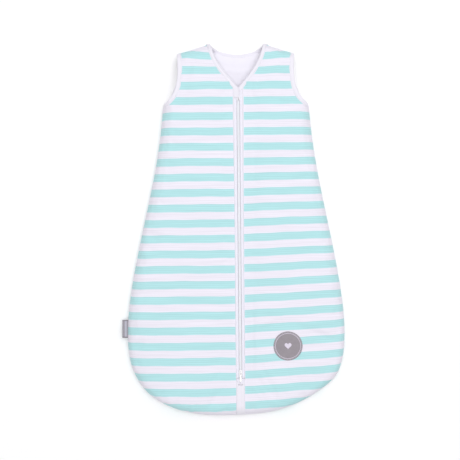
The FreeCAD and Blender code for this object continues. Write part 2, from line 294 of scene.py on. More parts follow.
# ---- meshes ------------------------------------------------------------------
def make(name, verts, faces, material, coords=None):
    """A mesh piece. coords, or its own rest places, drive the patterns of its material."""
    mesh = bpy.data.meshes.new(name)
    verts = np.asarray(verts, float)
    mesh.from_pydata(verts.tolist(), [], [list(map(int, f)) for f in faces])
    mesh.validate()
    layer = mesh.attributes.new("cloth", "FLOAT_VECTOR", "POINT")
    kept = verts if coords is None else np.asarray(coords, float)
    layer.data.foreach_set("vector", kept.astype(np.float32).ravel())
    mesh.polygons.foreach_set("use_smooth", [True] * len(mesh.polygons))
    mesh.materials.append(material)
    piece = bpy.data.objects.new(name, mesh)
    bpy.context.scene.collection.objects.link(piece)
    outward(mesh)
    return piece


def outward(mesh):
    """Turns all faces to the outside."""
    bm = bmesh.new()
    bm.from_mesh(mesh)
    bmesh.ops.recalc_face_normals(bm, faces=bm.faces)
    bm.to_mesh(mesh)
    bm.free()


def fill(loop, step=MESH_STEP, guides=()):
    """Even triangles inside a closed plane loop, with rows of points along the guides."""
    loop = np.asarray(loop)
    low, high = loop.min(0), loop.max(0)
    rows = np.arange(low[1], high[1], step * math.sqrt(3) / 2)
    grid = [(x + (i % 2) * step / 2, y) for i, y in enumerate(rows)
            for x in np.arange(low[0], high[0], step)]
    grid = np.array(grid)
    grid = grid[inside(grid, loop)]
    edge = np.vstack([loop, loop[:1]])
    grid = grid[distance(grid, edge) > 0.62 * step]
    for row in guides:
        row = row[inside(row, loop)]
        row = row[distance(row, edge) > 0.35 * step]
        grid = np.vstack([grid[distance(grid, row) > 0.45 * step], row])
    points = np.vstack([loop, grid])
    n = len(loop)
    edges = [(i, (i + 1) % n) for i in range(n)]
    whole = [list(range(n))]
    out, _, tris, *_ = delaunay_2d_cdt([Vector(p) for p in points], edges, whole, 1, 1e-7)
    return np.array([tuple(p) for p in out]), [tuple(t) for t in tris]


def rim(tris):
    """The edges that only one triangle uses, the way round that it runs."""
    seen = {}
    for t in tris:
        for a, b in zip(t, t[1:] + t[:1]):
            seen[(a, b)] = True
    return [(a, b) for a, b in seen if (b, a) not in seen]


def slab(name, upper, lower, tris, material, coords):
    """A closed piece between two faces with the same triangles."""
    n = len(upper)
    faces = list(tris) + [tuple(n + i for i in t[::-1]) for t in tris]
    faces += [(b, a, a + n, b + n) for a, b in rim(tris)]
    piece = make(name, np.vstack([upper, lower]), faces, material, np.vstack([coords, coords]))
    piece.data.set_sharp_from_angle(angle=math.radians(60))
    return piece


def tube_faces(base, rings, sides, closed=False):
    """The faces of a tube whose rings of vertices follow each other from base."""
    faces = []
    for i in range(rings if closed else rings - 1):
        one = base + i * sides
        two = base + (i + 1) % rings * sides
        faces += [(one + k, one + (k + 1) % sides, two + (k + 1) % sides, two + k)
                  for k in range(sides)]
    if not closed:
        last = base + (rings - 1) * sides
        faces += [tuple(range(base, base + sides))[::-1], tuple(range(last, last + sides))]
    return faces


def sweep(name, path, inward, normal, profile, material, closed=False, wave=0.0, mitre=None):
    """One cross-section carried along a path, with no part of it below the floor.

    profile is (inwards, outwards) from the path, wave swells it in and out, and mitre is the
    x at which the last ring is cut off.
    """
    n = len(path)
    m = len(profile)
    run = lengths(path)
    swell = 1 + wave * (np.sin(run / 0.0031) * 0.6 + np.sin(run / 0.0052 + 1.3) * 0.4)
    verts = (path[:, None] + inward[:, None] * profile[None, :, :1]
             + normal[:, None] * profile[None, :, 1:] * swell[:, None, None])
    if mitre is not None:
        along = path[-1] - path[-2]
        reach = (mitre - verts[-1, :, 0]) / along[0]
        verts[-1] += reach[:, None] * along
    verts[..., 2] = np.maximum(verts[..., 2], BAND_FLOOR)
    coords = np.zeros((n, m, 3))
    coords[..., 0] = lengths(profile)[None]
    coords[..., 1] = run[:, None]
    faces = tube_faces(0, n, m, closed)
    return make(name, verts.reshape(-1, 3), faces, material, coords.reshape(-1, 3))


def band_profile(width, thick, proud=0.0004):
    """A flat folded band: a soft outer edge, and a groove where it is stitched.

    proud is how far its outer face stands above the path.
    """
    a = turn(22)
    u = np.sign(np.cos(a)) * np.abs(np.cos(a)) ** 0.45
    v = np.sign(np.sin(a)) * np.abs(np.sin(a)) ** 0.6
    inwards = width / 2 * (1 + u)
    groove = 1 - 0.16 * np.exp(-((inwards - width + STITCH_INSET) / 0.0008) ** 2)
    return np.stack([inwards, proud - thick / 2 + v * thick / 2 * groove], 1)


def rounded(name, outline, z0, z1, bevel, material, hole=None):
    """A flat piece with soft edges, from its plan outline and at most one hole."""
    bm = bmesh.new()
    loops = [outline] + ([hole] if hole is not None else [])
    rings = [[bm.verts.new((x, y, z0)) for x, y in loop] for loop in loops]
    edges = [bm.edges.new(pair) for ring in rings for pair in zip(ring, ring[1:] + ring[:1])]
    faces = [f for f in bmesh.ops.triangle_fill(bm, edges=edges, use_beauty=True)["geom"]
             if isinstance(f, bmesh.types.BMFace)]
    grown = bmesh.ops.extrude_face_region(bm, geom=faces)
    bmesh.ops.translate(bm, verts=[v for v in grown["geom"] if isinstance(v, bmesh.types.BMVert)],
                        vec=(0, 0, z1 - z0))
    bmesh.ops.recalc_face_normals(bm, faces=bm.faces)
    sharp = [e for e in bm.edges if len(e.link_faces) == 2 and e.calc_face_angle() > 1.0
             and abs(e.verts[0].co.z - e.verts[1].co.z) < 1e-7]
    bmesh.ops.bevel(bm, geom=sharp, offset=bevel, segments=3, affect="EDGES", profile=0.6)
    mesh = bpy.data.meshes.new(name)
    bm.to_mesh(mesh)
    bm.free()
    verts = [tuple(v.co) for v in mesh.vertices]
    faces = [tuple(p.vertices) for p in mesh.polygons]
    bpy.data.meshes.remove(mesh)
    piece = make(name, verts, faces, material)
    piece.data.set_sharp_from_angle(angle=math.radians(40))
    return piece


def box_plan(x0, y0, x1, y1):
    """The corners of a plane box, anticlockwise."""
    return [(x0, y0), (x1, y0), (x1, y1), (x0, y1)]


def round_corners(points, radius):
    """A closed outline with its corners rounded, as far as the edges beside them allow."""
    out = []
    p = np.array(points, float)
    for a, b, c in zip(np.roll(p, 1, 0), p, np.roll(p, -1, 0)):
        before = np.linalg.norm(a - b)
        after = np.linalg.norm(c - b)
        u = (a - b) / before
        v = (c - b) / after
        r = min(radius, 0.45 * before, 0.45 * after)
        for t in np.linspace(0, 1, 5):
            out.append(b + u * r * (1 - t) ** 2 + v * r * t ** 2)
    return out


def joined(name, parts):
    """Several meshes as one piece."""
    verts, faces = [], []
    for part in parts:
        base = len(verts)
        verts += [tuple(v.co) for v in part.data.vertices]
        faces += [tuple(base + i for i in p.vertices) for p in part.data.polygons]
    material = parts[0].data.materials[0]
    for part in parts:
        bpy.data.objects.remove(part)
    piece = make(name, verts, faces, material)
    piece.data.set_sharp_from_angle(angle=math.radians(40))
    return piece


def lathe(name, centre, section, material, hollow=False):
    """A turned flat piece about a vertical axis, from the radii and heights of its section."""
    steps = 96
    a = turn(steps)
    verts, rings = [], []
    for r, z in section:
        start = len(verts)
        if r == 0:
            verts.append((centre[0], centre[1], z))
            rings.append([start] * steps)
        else:
            verts += [(centre[0] + r * math.cos(t), centre[1] + r * math.sin(t), z) for t in a]
            rings.append(list(range(start, start + steps)))
    faces = []
    pairs = list(zip(rings, rings[1:])) + ([(rings[-1], rings[0])] if hollow else [])
    for one, two in pairs:
        for i in range(steps):
            j = (i + 1) % steps
            faces.append(list(dict.fromkeys((one[i], one[j], two[j], two[i]))))
    piece = make(name, verts, faces, material)
    piece.data.set_sharp_from_angle(angle=math.radians(50))
    return piece


def attach(piece, body, slot, *nodes):
    """Hides the CAD pieces this one stands for and puts it on the body it rides on; slot is not
    used.
    """
    if nodes:
        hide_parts(*nodes)
    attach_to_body(piece, body)


# ---- materials ---------------------------------------------------------------
class Nodes:
    """A short way to write a node material."""

    def __init__(self, name, rough, sheen=0.0, **sockets):
        self.material = bpy.data.materials.new(name)
        self.material.use_nodes = True
        self.tree = self.material.node_tree
        self.shader = next(n for n in self.tree.nodes if n.type == "BSDF_PRINCIPLED")
        self.shader.inputs["Roughness"].default_value = rough
        self.shader.inputs["Sheen Weight"].default_value = sheen
        for key, value in sockets.items():
            self.shader.inputs[key.replace("_", " ")].default_value = value
        where = self.add("ShaderNodeAttribute", attribute_name="cloth")
        split = self.add("ShaderNodeSeparateXYZ")
        self.link(where.outputs["Vector"], split.inputs[0])
        self.place, (self.x, self.y, self.z) = where.outputs["Vector"], split.outputs

    def add(self, kind, **settings):
        node = self.tree.nodes.new(kind)
        for key, value in settings.items():
            setattr(node, key, value)
        return node

    def link(self, a, b):
        self.tree.links.new(a, b)

    def math(self, operation, a, b=0.0, c=0.5, clamp=False):
        node = self.add("ShaderNodeMath", operation=operation, use_clamp=clamp)
        for value, socket in zip((a, b, c), node.inputs):
            if isinstance(value, (int, float)):
                socket.default_value = value
            else:
                self.link(value, socket)
        return node.outputs[0]

    def noise(self, scale, detail=3.0, stretch=(1, 1, 1)):
        mapping = self.add("ShaderNodeMapping")
        mapping.inputs["Scale"].default_value = stretch
        node = self.add("ShaderNodeTexNoise")
        node.inputs["Scale"].default_value = scale
        node.inputs["Detail"].default_value = detail
        self.link(self.place, mapping.inputs[0])
        self.link(mapping.outputs[0], node.inputs["Vector"])
        return node.outputs[0]

    def mix(self, factor, a, b, blend="MIX"):
        node = self.add("ShaderNodeMix", data_type="RGBA", blend_type=blend)
        for value, socket in ((factor, node.inputs[0]), (a, node.inputs[6]), (b, node.inputs[7])):
            if isinstance(value, (int, float, tuple)):
                socket.default_value = value
            else:
                self.link(value, socket)
        return node.outputs[2]

    def wave(self, value, period, sharp=1.0):
        """0 to 1 ripples along value."""
        turns = self.math("MULTIPLY", value, 2 * math.pi / period)
        height = self.math("MULTIPLY_ADD", self.math("SINE", turns), 0.5, 0.5)
        return self.math("POWER", height, sharp) if sharp != 1.0 else height

    def colour(self, socket):
        self.link(socket, self.shader.inputs["Base Color"])

    def bump(self, height, strength, distance=0.0005):
        node = self.add("ShaderNodeBump")
        node.inputs["Strength"].default_value = strength
        node.inputs["Distance"].default_value = distance
        self.link(height, node.inputs["Height"])
        self.link(node.outputs[0], self.shader.inputs["Normal"])


def shaded(colour, factor):
    """The colour, lighter or darker."""
    return tuple(c * factor for c in colour[:3]) + (1,)


def knit(nodes, course=0.0011, wale=0.0009):
    """Rows and columns of knitted loops, as a height."""
    rows = nodes.math("MULTIPLY", nodes.wave(nodes.y, course), 0.65)
    columns = nodes.math("MULTIPLY", nodes.wave(nodes.x, wale), 0.35)
    return nodes.math("ADD", rows, columns)


def striped_jersey():
    """Mint and white stripes; the z of the cloth coordinates counts the stripes."""
    n = Nodes("striped_jersey", 0.88, 0.18)
    n.shader.inputs["Sheen Roughness"].default_value = 0.6
    place = n.math("ABSOLUTE", n.math("SUBTRACT", n.math("FRACT", n.z), 0.5))
    fuzz = n.math("MULTIPLY", n.math("SUBTRACT", n.noise(500, 3), 0.5), 0.06)
    mint_half, sharp = 0.2535, 34.0         # a mint stripe's half width, in periods; its edge
    mask = n.math("MULTIPLY_ADD", n.math("ADD", place, fuzz), sharp, 0.5 - sharp * mint_half,
                  clamp=True)
    ribs = n.wave(n.z, 0.125)
    streak = n.math("SUBTRACT", n.noise(1.0, 4, (9, 520, 0)), 0.5)
    mint = n.mix(ribs, MINT, shaded(MINT, 1.075))
    white = n.mix(ribs, WHITE, shaded(WHITE, 1.035))
    base = n.mix(mask, mint, white)
    # the cloth's colour is multiplied by slow random lighter and darker blotches and fine streaks
    blotches = n.math("MULTIPLY_ADD", n.noise(14, 4), 0.12, 0.94)
    blotches = n.math("ADD", blotches, n.math("MULTIPLY", streak, 0.22))
    tint = n.add("ShaderNodeCombineColor")
    for socket in tint.inputs[:3]:
        n.link(blotches, socket)
    n.colour(n.mix(1.0, base, tint.outputs[0], "MULTIPLY"))
    n.bump(n.math("ADD", knit(n), n.math("MULTIPLY", n.noise(500, 2), 0.5)), 0.35, 0.0003)
    return n.material


def plain_knit(name, colour, course=0.0012, wale=0.0010):
    n = Nodes(name, 0.9, 0.15)
    height = knit(n, course, wale)
    base = n.mix(n.noise(22, 4), shaded(colour, 0.95), shaded(colour, 1.04))
    # painted shade: the colour is darker in the knit's valleys and lighter on its raised loops,
    # following the bump
    n.colour(n.mix(n.math("MULTIPLY", height, 0.35), shaded(colour, 0.93), base))
    n.bump(n.math("ADD", height, n.math("MULTIPLY", n.noise(700, 2), 0.4)), 0.35, 0.0003)
    return n.material


def rib_binding():
    """Fine ribs that run across the band."""
    n = Nodes("rib_binding", 0.86, 0.2)
    ribs = n.wave(n.y, 0.0016, 0.8)
    fine = n.wave(n.x, 0.0007)
    # painted shade: the colour is darker between the ribs and lighter on them, following the bump
    base = n.mix(ribs, shaded(BINDING_WHITE, 0.95), BINDING_WHITE)
    n.colour(n.mix(n.noise(60, 3), shaded(BINDING_WHITE, 0.96), base))
    n.bump(n.math("ADD", ribs, n.math("MULTIPLY", fine, 0.3)), 0.45, 0.0003)
    return n.material


def woven_tape():
    """Herringbone zip tape."""
    n = Nodes("woven_tape", 0.8, 0.1)
    slant = n.math("ADD", n.y, n.math("PINGPONG", n.x, 0.0014))
    weave = n.wave(slant, 0.0009)
    edge = n.wave(n.x, 0.0006)
    # painted shade: the colour is darker in the weave's grooves and lighter on its raised threads,
    # following the bump; both whites are also raised above the tape's own white, as painted light
    # against the shade it lies in under the strips
    n.colour(n.mix(weave, (0.80, 0.79, 0.88, 1), (0.88, 0.87, 0.95, 1)))
    n.bump(n.math("ADD", weave, n.math("MULTIPLY", edge, 0.3)), 0.5, 0.0003)
    return n.material


def nylon(name, colour, rough=0.42):
    n = Nodes(name, rough, 0.0, IOR=1.5)
    n.colour(n.mix(n.noise(300, 3), shaded(colour, 0.9), shaded(colour, 1.05)))
    n.bump(n.noise(2500, 2), 0.08, 0.0002)
    return n.material


def enamel(name, colour):
    """White enamel over cast metal, a little rubbed."""
    n = Nodes(name, 0.3, 0.0, Coat_Weight=0.5, Coat_Roughness=0.12)
    rub = n.math("POWER", n.noise(900, 5), 4.0)
    n.colour(n.mix(rub, colour, shaded(colour, 0.72)))
    rough = n.math("MULTIPLY_ADD", n.noise(1400, 3), 0.2, 0.2)
    n.link(rough, n.shader.inputs["Roughness"])
    n.bump(n.noise(3000, 2), 0.06, 0.0002)
    return n.material


def leather(name, colour, light, strength):
    """Imitation leather: shallow cells between fine creases."""
    n = Nodes(name, 0.62, 0.0)
    cells = n.add("ShaderNodeTexVoronoi", feature="DISTANCE_TO_EDGE")
    cells.inputs["Scale"].default_value = 900
    n.link(n.place, cells.inputs["Vector"])
    grain = n.math("MINIMUM", cells.outputs[0], 0.25)
    n.colour(n.mix(n.noise(160, 5), colour, light))
    n.bump(n.math("ADD", n.math("MULTIPLY", grain, 3.0), n.noise(1200, 3)), strength, 0.0003)
    return n.material


def label_weave():
    """Grey weave with a pale stripe along the label; z runs from -1 to 1 between its ends."""
    n = Nodes("label_weave", 0.75, 0.1)
    warp = n.wave(n.x, 0.0005)
    weft = n.wave(n.y, 0.0007)
    edge = n.math("GREATER_THAN", n.math("ABSOLUTE", n.z), 0.86)
    # painted shade: the grey is darker between the warp threads and lighter on them, following the
    # bump
    body = n.mix(warp, (0.29, 0.27, 0.31, 1), (0.34, 0.32, 0.36, 1))
    off_middle = n.math("ABSOLUTE", n.math("SUBTRACT", n.x, 0.0058))
    body = n.mix(n.math("LESS_THAN", off_middle, 0.0019), body, (0.47, 0.46, 0.53, 1))
    n.colour(n.mix(edge, body, (0.25, 0.23, 0.26, 1)))
    n.bump(n.math("ADD", warp, weft), 0.4, 0.0002)
    return n.material


def thread():
    n = Nodes("thread", 0.6, 0.2)
    twist = n.wave(n.math("ADD", n.y, n.x), 0.0007)
    # painted shade: the colour is darker in the twist's grooves and lighter on its raised plies,
    # following the bump
    n.colour(n.mix(twist, (0.68, 0.66, 0.74, 1), (0.82, 0.81, 0.88, 1)))
    n.bump(twist, 0.4, 0.0002)
    return n.material


STRIPES = striped_jersey()
LINING_KNIT = plain_knit("lining_knit", LINING_WHITE)
GUARD_KNIT = plain_knit("guard_knit", BINDING_WHITE, 0.0010, 0.0008)
BINDING = rib_binding()
TAPE = woven_tape()
# the coil's nylon is near white: partly its own colour, partly painted light against the shade
# between its turns and under the strips
COIL = nylon("coil_nylon", (0.93, 0.94, 0.99, 1))
PLASTIC = nylon("end_plastic", (0.84, 0.83, 0.88, 1), 0.35)
ENAMEL = enamel("slider_enamel", (0.78, 0.77, 0.79, 1))
PULL_ENAMEL = enamel("pull_enamel", (0.82, 0.81, 0.83, 1))
LEATHER = leather("badge_leather", (0.255, 0.225, 0.255, 1), (0.33, 0.30, 0.33, 1), 0.5)
RELIEF = leather("badge_relief", (0.66, 0.60, 0.72, 1), (0.74, 0.69, 0.80, 1), 0.25)
LABEL = label_weave()
THREAD = thread()


# ---- the padded panels -------------------------------------------------------
def stripe_count(points, half):
    """Counts stripes up the bag; on the right half they rise a little towards the side."""
    x, y = points[:, 0], points[:, 1]
    level = y.copy()
    if half > 0:
        low = np.clip((0.165 - y) / 0.459, 0, 1)
        level -= STRIPE_RISE * low ** 0.65 * x + 0.003 * low
    arch = smooth((y - 0.30) / 0.07)
    level += arch * STRIPE_ARCH * np.sin(np.abs(x) / 0.085 * math.pi)
    level += 0.00025 * np.sin(x / 0.021 + y / 0.047)
    level += 0.00025 * np.sin(x / 0.0093 - y / 0.031 + 1.0)
    return (level - STRIPE_START) / STRIPE_PERIOD + 0.5


def side_run(high_y):
    """The right side seam, from the middle of the hem up to a height."""
    line = RIGHT_SIDE[::-1]
    return line[line[:, 1] <= high_y]


def arm_run(inset, side=1):
    """The right armhole from the underarm to the shoulder seam; the back's stands out further."""
    line = curve(ARMHOLE)
    if side < 0:
        rise = line[:, 1]
        out = 0.0022 * smooth((0.352 - rise) / 0.02) * smooth((rise - 0.25) / 0.012)
        out += 0.0030 * np.exp(-((rise - 0.276) / 0.014) ** 2)
        line = line + out[:, None] * np.array([0.9, 0.43])
    line = shifted(line, inset)[::-1]
    side_x = np.interp(line[:, 1], RIGHT_SIDE[::-1, 1], RIGHT_SIDE[::-1, 0], right=UNDERARM[0])
    within = line[:, 0] < side_x - SEAM_MARGIN
    return line[within & (line[:, 1] < roof(line[:, 0]) - SEAM_MARGIN)]


def neck_run(points, inset):
    """A neck edge from the shoulder seam to the middle."""
    line = shifted(curve(points), inset)
    return line[line[:, 1] < roof(line[:, 0]) - SEAM_MARGIN]


def shoulder_run(start, end):
    """Along the shoulder seam between two points' x."""
    x = np.linspace(start[0], end[0], 12)
    return np.stack([x, roof(x)], 1)


def join_runs(parts, step=MESH_STEP):
    """Even points round a closed loop that keep each run's ends."""
    points = []
    for part in parts:
        for p in resample(part, step):
            if not points or np.linalg.norm(p - points[-1]) > 0.2 * step:
                points.append(p)
    if np.linalg.norm(points[0] - points[-1]) < 0.2 * step:
        points.pop()
    return np.array(points)


def front_loop():
    """The right front panel's edge, anticlockwise."""
    inner = BAND_HALF - TUCK / 2
    arm = arm_run(TUCK)
    neck = neck_run(V_EDGE, TUCK)[::-1]
    neck = neck[neck[:, 0] > inner]
    side = side_run(arm[0, 1])
    side = side[side[:, 0] > inner]
    hem = (inner, side[0, 1])
    parts = [side, arm, shoulder_run(arm[-1], neck[0]), neck, np.array([neck[-1], hem])]
    return join_runs(parts)


def back_loop():
    """The back panel's edge, anticlockwise from the middle of the hem."""
    arm = arm_run(TUCK, -1)
    neck = neck_run(BACK_NECK, -TUCK)
    right = [side_run(arm[0, 1]), arm, shoulder_run(arm[-1], neck[0]), neck]
    left = [part[::-1] * MIRROR for part in right[::-1]]
    return join_runs(right + left)


def edge_dip(clear):
    """How far the cloth is pressed in, from how far away the nearest bound edge is."""
    depth, reach = 0.0011, 0.013
    return depth * (1 - smooth(clear / reach))


def off_badge(points, over):
    """0 on and round the badge, rising to 1 over the width given."""
    return smooth((np.linalg.norm(points - BADGE, axis=1) - BADGE_FLAT) / over)


def creases(points, lines):
    """Small puckers beside the seams, and slow hollows and swells between them."""
    relief = np.zeros(len(points))
    for line, depth, reach, period in ([(SEAM, 0.0007, 0.009, 0.023)]
                                       + [(line, 0.0006, 0.008, 0.018) for line in lines]):
        d, run = nearest(points, line)
        phase = 2 * math.pi * run / period + 1.7 * np.sin(run / 0.037) + 0.9 * np.sin(run / 0.011)
        strength = 0.55 + 0.45 * np.sin(run / 0.061 + 2.0)
        relief += depth * strength * (d / reach) * np.exp(1 - d / reach) * np.sin(phase)
    x, y = points[:, 0], points[:, 1]
    slow = np.sin(x / 0.041 + 1.1 * np.sin(y / 0.090)) * np.sin(y / 0.057 + 0.8 * np.sin(x / 0.070))
    slow += 0.6 * np.sin((x + 0.6 * y) / 0.033 + 2.0) * np.sin((y - 0.4 * x) / 0.083)
    clear = np.min([distance(points, line) for line in lines + [SEAM]], axis=0)
    return (relief + 0.0007 * slow * smooth(clear / 0.04)) * off_badge(points, 0.02)


def puff(name, verts, tris, held, pressure):
    """Lets the outer cloth fill and crease with the cloth solver, no further than PUFF_CAP."""
    sheet = make(name, verts, tris, STRIPES)
    group = sheet.vertex_groups.new(name="held")
    for i, weight in enumerate(held):
        group.add([i], float(weight), "REPLACE")
    cloth = sheet.modifiers.new("cloth", "CLOTH")
    cloth.settings.quality = 4
    cloth.settings.mass = 0.25
    cloth.settings.tension_stiffness = 12
    cloth.settings.compression_stiffness = 12
    cloth.settings.shear_stiffness = 6
    cloth.settings.bending_stiffness = 0.8
    cloth.settings.vertex_group_mass = "held"
    cloth.settings.shrink_min = -0.012
    cloth.settings.use_pressure = True
    cloth.settings.uniform_pressure_force = pressure
    cloth.settings.effector_weights.gravity = 0
    scene = bpy.context.scene
    last_frame = 18
    for frame_number in range(1, last_frame + 1):
        scene.frame_set(frame_number)
    done = sheet.evaluated_get(bpy.context.evaluated_depsgraph_get())
    moved = np.array([tuple(v.co) for v in done.data.vertices])
    scene.frame_set(1)
    mesh = sheet.data
    bpy.data.objects.remove(sheet)
    bpy.data.meshes.remove(mesh)
    shift = moved - verts
    size = np.linalg.norm(shift, axis=1)[:, None]
    return verts + shift * np.tanh(size / PUFF_CAP) * PUFF_CAP / np.maximum(size, 1e-9)


def flat_coords(plan):
    """Cloth coordinates of plane points, for materials that use no third one."""
    return np.column_stack([plan, np.zeros(len(plan))])


def vertex_normals(verts, tris):
    t = np.array(tris)
    n = np.cross(verts[t[:, 1]] - verts[t[:, 0]], verts[t[:, 2]] - verts[t[:, 0]])
    out = np.zeros_like(verts)
    for k in range(3):
        np.add.at(out, t[:, k], n)
    return out / np.maximum(np.linalg.norm(out, axis=1)[:, None], 1e-12)


def panel(name, loop, bound, half, side, replaced, pressure, guides=()):
    """One padded panel and its lining.

    half is 1 or -1 for a front half and 0 for the back, side is 1 for the front and -1 for the
    back, and bound has the edges that a binding presses.
    """
    plan, tris = fill(loop, guides=guides)
    outer, normal = surface(plan, side)
    bound_distance = np.min([distance(plan, line) for line in bound], axis=0)
    outer -= normal * edge_dip(bound_distance)[:, None]
    if side < 0:
        tris = [t[::-1] for t in tris]
    rim_points = {i for edge in rim(tris) for i in edge}
    held = 1 - smooth(bound_distance / 0.035)
    held = np.maximum(held, 0.15 * (side < 0))
    if side > 0:
        held = np.maximum(held, 1 - off_badge(plan, 0.03))
    held[list(rim_points)] = 1
    outer = puff(name, outer, tris, held, pressure)
    outer += vertex_normals(outer, tris) * creases(plan, bound)[:, None]
    if side < 0:
        outer[:, 2] = np.maximum(outer[:, 2], CLOTH_FLOOR)
    normal = vertex_normals(outer, tris)
    thick = BOUND_QUILT + (QUILT - BOUND_QUILT) * smooth(bound_distance / 0.016)
    inner = outer - normal * thick[:, None]
    backing = inner - normal * LINING
    keep_apart = np.maximum if side > 0 else np.minimum
    for face, gap in ((inner, FACE_GAP), (backing, FACE_GAP / 2)):
        face[:, 2] = keep_apart(face[:, 2], MID + side * gap)
    coords = np.column_stack([plan, stripe_count(lean(plan), half)])
    quilt = slab(name + "_quilt", outer, inner, tris, STRIPES, coords)
    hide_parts(*[n for n in replaced if not n.endswith("lining")])
    lining = slab(name + "_lining_cloth", inner, backing, tris, LINING_KNIT, flat_coords(plan))
    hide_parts(*[n for n in replaced if n.endswith("lining")])
    return quilt, lining


def fold_line(side):
    """A place on the fold line, the direction up it, and the direction into the part that folds."""
    joint = JOINTS[side + "_fold"]
    axis = Vector(joint["axis"])
    across = Vector((axis.y, -axis.x, 0)).normalized()
    if across.x * SIGN[side] > 0:
        across = -across
    return Vector(joint["pos_m"]), axis if axis.y > 0 else -axis, across


def fold_rows(side):
    """Rows of mesh points along the fold line and just beside it."""
    place, up, across = fold_line(side)
    rows = []
    for share in (0, 1 / 3, 2 / 3, 1):
        start = place + across * FOLD_WIDTH * share
        rows.append(np.array([tuple(start + up * t)[:2] for t in np.arange(0.002, 0.66, 0.004)]))
    return rows


def fold_blend(piece):
    """Bakes the piece's transform into its mesh."""
    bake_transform(piece)


def make_panels():
    arm = np.array(curve(ARMHOLE, 0.004))
    neck = np.array(curve(BACK_NECK, 0.004))
    bound = [arm, arm * MIRROR, neck, neck * MIRROR]
    nodes = ["back_outer", "back_wadding", "back_lining"]
    for piece in panel("back", back_loop(), bound, 0, -1, nodes, 0.6):
        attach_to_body(piece, "bag")
    zip_edge = np.array([(BAND_HALF, -0.40), (BAND_HALF, 0.29)])
    for side, sign in SIGN.items():
        flip = np.array([sign, 1])
        loop = front_loop() * flip
        if sign < 0:
            loop = loop[::-1]
        lines = [arm * flip, curve(V_EDGE, 0.004) * flip, zip_edge * flip]
        parts = [f"{where}_{layer}" for layer in ("outer", "wadding", "lining")
                 for where in ("front_" + side, side + "_flap")]
        for piece in panel("front_" + side, loop, lines, sign, 1, parts, 2.2, fold_rows(side)):
            fold_blend(piece)


# ---- bound edges -------------------------------------------------------------
def dress(lines, towards, closed=False):
    """Path, inward direction and normal of an edge over one face or both, evenly spaced."""
    both = np.vstack([np.column_stack(surface(line, side)) for line, side in lines])
    if closed:
        both = np.vstack([both, both[:1]])
        run = lengths(both[:, :3])
        at = np.linspace(0, run[-1], int(run[-1] / BAND_STEP), endpoint=False)
        both = np.stack([np.interp(at, run, both[:, k]) for k in range(6)], 1)
        for _ in range(3):
            both = (np.roll(both, 1, 0) + 2 * both + np.roll(both, -1, 0)) / 4
    else:
        both = resample(both, BAND_STEP)
    path, normal = both[:, :3], both[:, 3:]
    t = tangents(path, closed)
    normal = normal - (normal * t).sum(1)[:, None] * t
    normal /= np.linalg.norm(normal, axis=1)[:, None]
    inward = np.cross(t, normal)
    if (inward[len(inward) // 4] @ np.array(towards)) < 0:
        inward = -inward
    return path, inward, normal


def stitches(name, path, inward, normal, offset, height, length=STITCH, gap=STITCH_GAP):
    """A row of short thread stitches beside an edge, none of them below the floor.

    offset is how far inwards from the path the row runs, and height how far above it.
    """
    run = lengths(path)
    line = path + inward * offset + normal * height
    line[:, 2] = np.maximum(line[:, 2], THREAD_FLOOR)
    shape = ((0, 0.25, 0.0001), (0.2, 1, -0.00012), (0.8, 1, -0.00012), (1, 0.25, 0.0001))
    verts, faces, coords = [], [], []
    for start in np.arange(gap, run[-1] - length, length + gap):
        faces += tube_faces(len(verts), len(shape), len(THREAD_RING))
        for share, size, drop in shape:
            at = start + share * length
            p, i, n = (np.array([np.interp(at, run, a[:, c]) for c in range(3)])
                       for a in (line, inward, normal))
            for u, v in THREAD_RING:
                verts.append(p + i * u * size + n * (v * size - drop))
                coords.append((u, at, 0))
    piece = make(name, verts, faces, THREAD, coords)
    return piece


def make_arm_bindings():
    profile = band_profile(ARM_BINDING, BINDING_THICK)
    edges = {}
    for face in (1, -1):
        line = arm_run(0.0, face)
        line = np.vstack([line, [(line[-1, 0] + 0.0002, roof(line[-1, 0]))]])
        edges[face] = line[line[:, 0] < UNDERARM[0] - 0.0006]
    for side, sign in SIGN.items():
        flip = np.array([sign, 1])
        lines = [(edges[1] * flip, 1), (edges[-1][::-1] * flip, -1)]
        path, inward, normal = dress(lines, (-sign, 0, 0), closed=True)
        band = sweep(side + "_armhole_band", path, inward, normal, profile, BINDING,
                     closed=True, wave=BAND_WAVE)
        attach(band, "bag", "white_binding", side + "_armhole_binding")
        row = stitches(side + "_armhole_stitching", path, inward, normal,
                       ARM_BINDING - STITCH_INSET, STITCH_RISE)
        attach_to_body(row, "bag")


def make_back_neck_binding():
    profile = band_profile(NECK_BINDING + 0.0010, BACK_NECK_THICK)
    right = neck_run(BACK_NECK, 0.0)
    right = np.vstack([[(right[0, 0], roof(right[0, 0]))], right])
    line = np.vstack([right, right[-2::-1] * MIRROR])
    path, inward, normal = dress([(line, -1)], (0, -1, 0))
    band = sweep("back_neck_band", path, inward, normal, profile, BINDING, wave=BAND_WAVE)
    attach(band, "bag", "white_binding", "neck_binding")
    offset = NECK_BINDING - STITCH_INSET
    under = stitches("back_neck_stitching", path, inward, normal, offset, STITCH_RISE)
    over = stitches("back_neck_inner_stitching", path, inward, -normal, offset,
                    BACK_NECK_THICK - 0.0005)
    for row in (under, over):
        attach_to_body(row, "bag")


